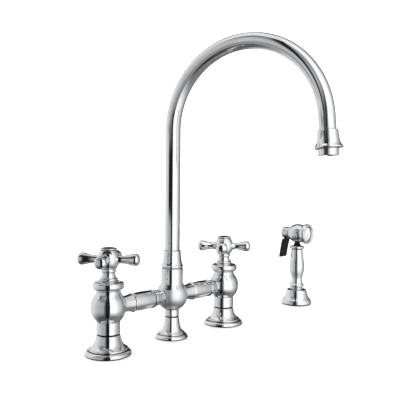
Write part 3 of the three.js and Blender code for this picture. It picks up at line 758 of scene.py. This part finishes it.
def slab(outline, x0, x1, bevel, segments=3):
    """A side outline (y, z) given thickness along X, with rounded edges."""
    bm = bmesh.new()
    a = [bm.verts.new((x0 * MM, y * MM, z * MM)) for y, z in outline]
    face = bm.faces.new(a)
    out = bmesh.ops.extrude_face_region(bm, geom=[face])
    vs = [g for g in out["geom"] if isinstance(g, bmesh.types.BMVert)]
    bmesh.ops.translate(bm, verts=vs, vec=((x1 - x0) * MM, 0, 0))
    bmesh.ops.recalc_face_normals(bm, faces=bm.faces)
    edges = [e for e in bm.edges if len(e.link_faces) == 2 and e.calc_face_angle(0.0) > math.radians(25)]
    bmesh.ops.bevel(bm, geom=edges, offset=bevel * MM, segments=segments, profile=0.5, affect="EDGES", clamp_overlap=True)
    me = bpy.data.meshes.new("slab")
    bm.to_mesh(me)
    bm.free()
    o = bpy.data.objects.new("slab", me)
    bpy.context.scene.collection.objects.link(o)
    return o


tongue = slab([(18.6, 6.1), (22.2, 6.1), (23.2, 4.6), (23.6, -3.0), (24.0, -11.6), (21.0, -11.6), (18.3, -3.0), (17.9, 3.6)], -4.0, 4.0, 0.35)
inner = catmull([(20.6, -10.0), (21.9, -15.4), (23.6, -22.0), (25.3, -31.0), (27.0, -40.4)], 5)
outer = catmull([(29.7, -40.7), (28.1, -31.0), (26.3, -21.2), (24.8, -15.0), (23.6, -10.0)], 5)
tip = [(27.6, -41.1), (28.5, -41.4), (29.3, -41.3)]
blade = slab([tuple(p) for p in inner] + tip + [tuple(p) for p in outer], -9.3, 9.3, 0.7, 4)
lever = cut_or_join(blade, tongue, "UNION")
for v in lever.data.vertices:
    v.co = Vector((v.co.x + SPRAY_X * MM, v.co.y, v.co.z + HEAD_Z * MM))
lever = holes(lever, [(SPRAY_X, 20.4, HEAD_Z + 4.4)], 1.45, "x", 20.0, 28)
piece(tidy(lever), "spray_lever", "lever", "black_plastic")

# ------------------------------------------------------------------ springs
def spring(node, body, r, wire, length, turns, xf):
    per, sides = 30, 10
    count = int(turns * per)
    verts, faces = [], []
    for i in range(count + 1):
        a = i / per * 2 * math.pi
        centre = Vector((r * math.cos(a), r * math.sin(a), length * i / count))
        out = Vector((math.cos(a), math.sin(a), 0.0))
        ahead = Vector((-r * math.sin(a), r * math.cos(a), length / (turns * 2 * math.pi))).normalized()
        side = ahead.cross(out)
        for k in range(sides):
            b = 2 * math.pi * k / sides
            verts.append(centre + (out * math.cos(b) + side * math.sin(b)) * wire)
        if i < count:
            for k in range(sides):
                s, e = i * sides + k, i * sides + (k + 1) % sides
                faces.append((s, e, e + sides, s + sides))
    faces.append(tuple(range(sides - 1, -1, -1)))
    faces.append(tuple(count * sides + k for k in range(sides)))
    ob = finish_mesh(node + "_m", [xf @ (v * MM) for v in verts], faces)
    piece(ob, node, body, "steel")
    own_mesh(ob)
    return ob


spring("diverter_spring", "base", 3.1, 0.4, 12.1, 4, at(z=50.6))
spring("spray_spring", "handset", 4.1, 0.45, 13.4, 4, at(x=287.4, y=1.7, z=117.3) @ Matrix.Rotation(math.radians(90), 4, "X"))

# ------------------------------------------------------------------ hidden pieces keep their frame mesh
SLOT_OF = {p["node"]: p["material_slot"] for p in frame["record"]["subparts"]}
replaced = {o.name[4:] for o in bpy.data.objects if o.name.startswith("vis_")}
for name, slot in SLOT_OF.items():
    if name in replaced:
        continue
    ob = bpy.data.objects.get(name)
    if ob is None:
        continue
    while len(ob.material_slots) < 1:
        ob.data.materials.append(None)
    for ms in ob.material_slots:
        ms.link = "OBJECT"
        ms.material = LOOK[slot]

# ------------------------------------------------------------------ floor, camera, light
floor = block(-3000, 3000, -3000, 3000, -20, -0.05)
floor.name = "floor"
fm = bpy.data.materials.new("pale_floor")
fm.use_nodes = True
nn = Nodes(fm.node_tree)
fo = nn.new("ShaderNodeOutputMaterial")
fs = nn.new("ShaderNodeBsdfPrincipled")
nn.t.links.new(fs.outputs[0], fo.inputs[0])
fc = nn.new("ShaderNodeTexCoord").outputs["Object"]
nn.put(fs.inputs["Base Color"], nn.mix_rgb(noise(nn, fc, 3.0), (0.93, 0.93, 0.93), (0.90, 0.90, 0.90)))
fs.inputs["Roughness"].default_value = 0.9
fs.inputs["Specular IOR Level"].default_value = 0.0
floor.data.materials.append(fm)
floor.visible_glossy = False

AZ, ROLL = math.radians(-46.652), math.radians(0.516)
EL = math.radians(1.737)
back = Vector((math.sin(AZ) * math.cos(EL), -math.cos(AZ) * math.cos(EL), math.sin(EL)))
right = Vector((math.cos(AZ), math.sin(AZ), 0.0))
up = back.cross(right)
r2 = right * math.cos(ROLL) + up * math.sin(ROLL)
u2 = -right * math.sin(ROLL) + up * math.cos(ROLL)
cam = bpy.data.objects.new("camera", bpy.data.cameras.new("camera"))
bpy.context.scene.collection.objects.link(cam)
cam.matrix_world = Matrix(((r2.x, u2.x, back.x, -0.49322), (r2.y, u2.y, back.y, -0.51379), (r2.z, u2.z, back.z, 0.19901), (0, 0, 0, 1)))
cam.data.sensor_fit = "HORIZONTAL"
cam.data.sensor_width = 36.0
cam.data.lens = 36.0 * 554.912 / 400.0
cam.data.clip_start = 0.01
cam.data.clip_end = 20.0
bpy.context.scene.camera = cam

# Studio: a white tent with grey and black panels, laid out by direction. East is to the right of
# the usual viewpoint, and the angles are degrees from the viewpoint, then degrees above the horizon.
CARDS = [
    # from, to, low, high, edge along, edge up, brightness (one, or from left to right)
    (-181, -100, -99, 99, 6, 8, (0.88, 0.76)),      # left wall: light far round, grey near the front
    (-100, -58, -99, 99, 2, 8, (0.76, 0.50)),
    (-58, 2, -99, 99, 2, 8, (0.50, 0.38)),
    (-180, 20, 52, 99, 20, 30, 0.9),                # open above it
    (-75, -14, 32, 58, 26, 18, 0.24),               # dark canopy, front left
    (64, 112, -99, 99, 6, 8, (1.05, 0.38)),         # right wall: light at the front, grey behind
    (112, 140, -99, 99, 2, 8, (0.38, 0.15)),
    (140, 181, -99, 99, 2, 8, (0.15, 0.02)),
    (60, 181, 58, 99, 20, 30, 0.85),
    (142, 208, 13, 50, 16, 10, 0.012),              # dark bar behind, above
    (-181, 22, -99, -34, 6, 40, (0.12, 0.07)),      # dark underneath
    (22, 181, -99, -34, 10, 40, (0.18, 0.24)),
]
world = bpy.data.worlds.new("studio")
bpy.context.scene.world = world
world.use_nodes = True
w = Nodes(world.node_tree)
wo = w.new("ShaderNodeOutputWorld")
bg = w.new("ShaderNodeBackground")
w.t.links.new(bg.outputs[0], wo.inputs[0])
direction = w.new("ShaderNodeTexCoord").outputs["Generated"]
flat_back = Vector((math.sin(AZ), -math.cos(AZ), 0.0))
east = w.dot(direction, tuple(right))
north = w.dot(direction, tuple(flat_back))
height = w.dot(direction, (0.0, 0.0, 1.0))
alpha = w.math("MULTIPLY", w.math("ARCTAN2", east, north), 180 / math.pi)
elev = w.math("MULTIPLY", w.math("ARCSINE", height), 180 / math.pi)
alpha_b = w.math("ADD", alpha, w.math("MULTIPLY", w.math("LESS_THAN", alpha, 0.0), 360.0))
value = WHITE = 1.25
for a0, a1, e0, e1, soft_a, soft_e, level in CARDS:
    al = alpha_b if a1 > 180 else alpha
    parts = []
    if a1 - a0 < 359:
        parts += [w.ramp(al, a0 - soft_a / 2, a0 + soft_a / 2), w.ramp(al, a1 - soft_a / 2, a1 + soft_a / 2, 1.0, 0.0)]
    parts += [w.ramp(elev, e0 - soft_e / 2, e0 + soft_e / 2), w.ramp(elev, e1 - soft_e / 2, e1 + soft_e / 2, 1.0, 0.0)]
    mask = parts[0]
    for p in parts[1:]:
        mask = w.math("MULTIPLY", mask, p)
    if isinstance(level, tuple):
        level = w.ramp(al, a0, a1, level[0], level[1], smooth=False)
    value = w.mix(mask, value, level)
path = w.new("ShaderNodeLightPath")
shown = w.mix(path.outputs["Is Glossy Ray"], 1.45, value)
w.put(bg.inputs["Strength"], shown)
bg.inputs["Color"].default_value = (1.0, 1.0, 1.0, 1.0)

# Dark flags, seen only in reflections, with soft sides: a tall narrow one beside the camera, a wide
# one in front of the spout, and small ones in front of its end, the cold valve and the spray.
for name, deep, x0, x1, z0, z1, soft in (("flag", 0.286, -0.166, 0.014, -0.35, 0.9, (0.084, 0.012, 0.02, 0.02)),
                                         ("wide_flag", 0.120, -0.25, -0.008, 0.126, 0.325, (0.06, 0.01, 0.04, 0.09)),
                                         ("end_flag", 0.1278, 0.1440, 0.1692, 0.205, 0.330, (0.0215, 0.002, 0.01, 0.05)),
                                         ("cold_flag_low", -0.024, 0.024, 0.060, -0.03, 0.034, (0.014, 0.004, 0.01, 0.008)),
                                         ("cold_flag_high", -0.024, 0.024, 0.060, 0.078, 0.14, (0.014, 0.004, 0.008, 0.01)),
                                         ("spray_flag", -0.149, 0.150, 0.187, -0.04, 0.125, (0.020, 0.004, 0.01, 0.02))):
    flag = bpy.data.objects.new(name, bpy.data.meshes.new(name))
    flag.data.from_pydata([tuple(flat_back * deep + right * x + Vector((0, 0, z))) for x, z in ((x0, z0), (x1, z0), (x1, z1), (x0, z1))],
                          [], [(0, 1, 2, 3)])
    bpy.context.scene.collection.objects.link(flag)
    gm = bpy.data.materials.new(name + "_cloth")
    gm.use_nodes = True
    g = Nodes(gm.node_tree)
    go = g.new("ShaderNodeOutputMaterial")
    gc = g.new("ShaderNodeTexCoord").outputs["Object"]
    across = g.dot(gc, tuple(right))
    height = g.dot(gc, (0.0, 0.0, 1.0))
    cover = g.math("MULTIPLY", g.ramp(across, x0, x0 + soft[0]), g.ramp(across, x1 - soft[1], x1, 1.0, 0.0))
    cover = g.math("MULTIPLY", cover, g.ramp(height, z0, z0 + soft[2]))
    cover = g.math("MULTIPLY", cover, g.ramp(height, z1 - soft[3], z1, 1.0, 0.0))
    cloth = g.new("ShaderNodeEmission")
    g.put(cloth.inputs["Color"], g.mix_rgb(noise(g, gc, 40.0), (0.010, 0.010, 0.011), (0.016, 0.016, 0.017)))
    clear = g.new("ShaderNodeBsdfTransparent")
    gx = g.new("ShaderNodeMixShader")
    g.put(gx.inputs[0], cover)
    g.t.links.new(clear.outputs[0], gx.inputs[1])
    g.t.links.new(cloth.outputs[0], gx.inputs[2])
    g.t.links.new(gx.outputs[0], go.inputs[0])
    flag.data.materials.append(gm)
    flag.visible_camera = False
    flag.visible_diffuse = False
    flag.visible_shadow = False
    flag.visible_transmission = False

# A pale shelf under the bend of the spout, clear at the tube and full further out, which hides the
# flags below it from the bend.
shelf = bpy.data.objects.new("shelf", bpy.data.meshes.new("shelf"))
shelf.data.from_pydata([tuple(flat_back * y + right * x + Vector((0, 0, 0.287))) for x, y in ((-0.26, 0.011), (0.03, 0.011), (0.03, 0.210), (-0.26, 0.210))],
                       [], [(0, 1, 2, 3)])
bpy.context.scene.collection.objects.link(shelf)
sm = bpy.data.materials.new("shelf_card")
sm.use_nodes = True
s5 = Nodes(sm.node_tree)
so = s5.new("ShaderNodeOutputMaterial")
sc = s5.new("ShaderNodeTexCoord").outputs["Object"]
full = s5.math("MULTIPLY", s5.ramp(s5.dot(sc, tuple(flat_back)), 0.012, 0.110), s5.ramp(s5.dot(sc, tuple(right)), 0.0, 0.03, 1.0, 0.0))
pale = s5.new("ShaderNodeEmission")
s5.put(pale.inputs["Color"], s5.mix_rgb(noise(s5, sc, 30.0), (0.30, 0.30, 0.31), (0.38, 0.38, 0.39)))
open_air = s5.new("ShaderNodeBsdfTransparent")
sx = s5.new("ShaderNodeMixShader")
s5.put(sx.inputs[0], full)
s5.t.links.new(open_air.outputs[0], sx.inputs[1])
s5.t.links.new(pale.outputs[0], sx.inputs[2])
s5.t.links.new(sx.outputs[0], so.inputs[0])
shelf.data.materials.append(sm)
shelf.visible_camera = False
shelf.visible_diffuse = False
shelf.visible_shadow = False
shelf.visible_transmission = False

scene = bpy.context.scene
scene.view_settings.view_transform = "Standard"
scene.view_settings.look = "None"
scene.view_settings.exposure = 0.0
scene.view_settings.gamma = 1.0

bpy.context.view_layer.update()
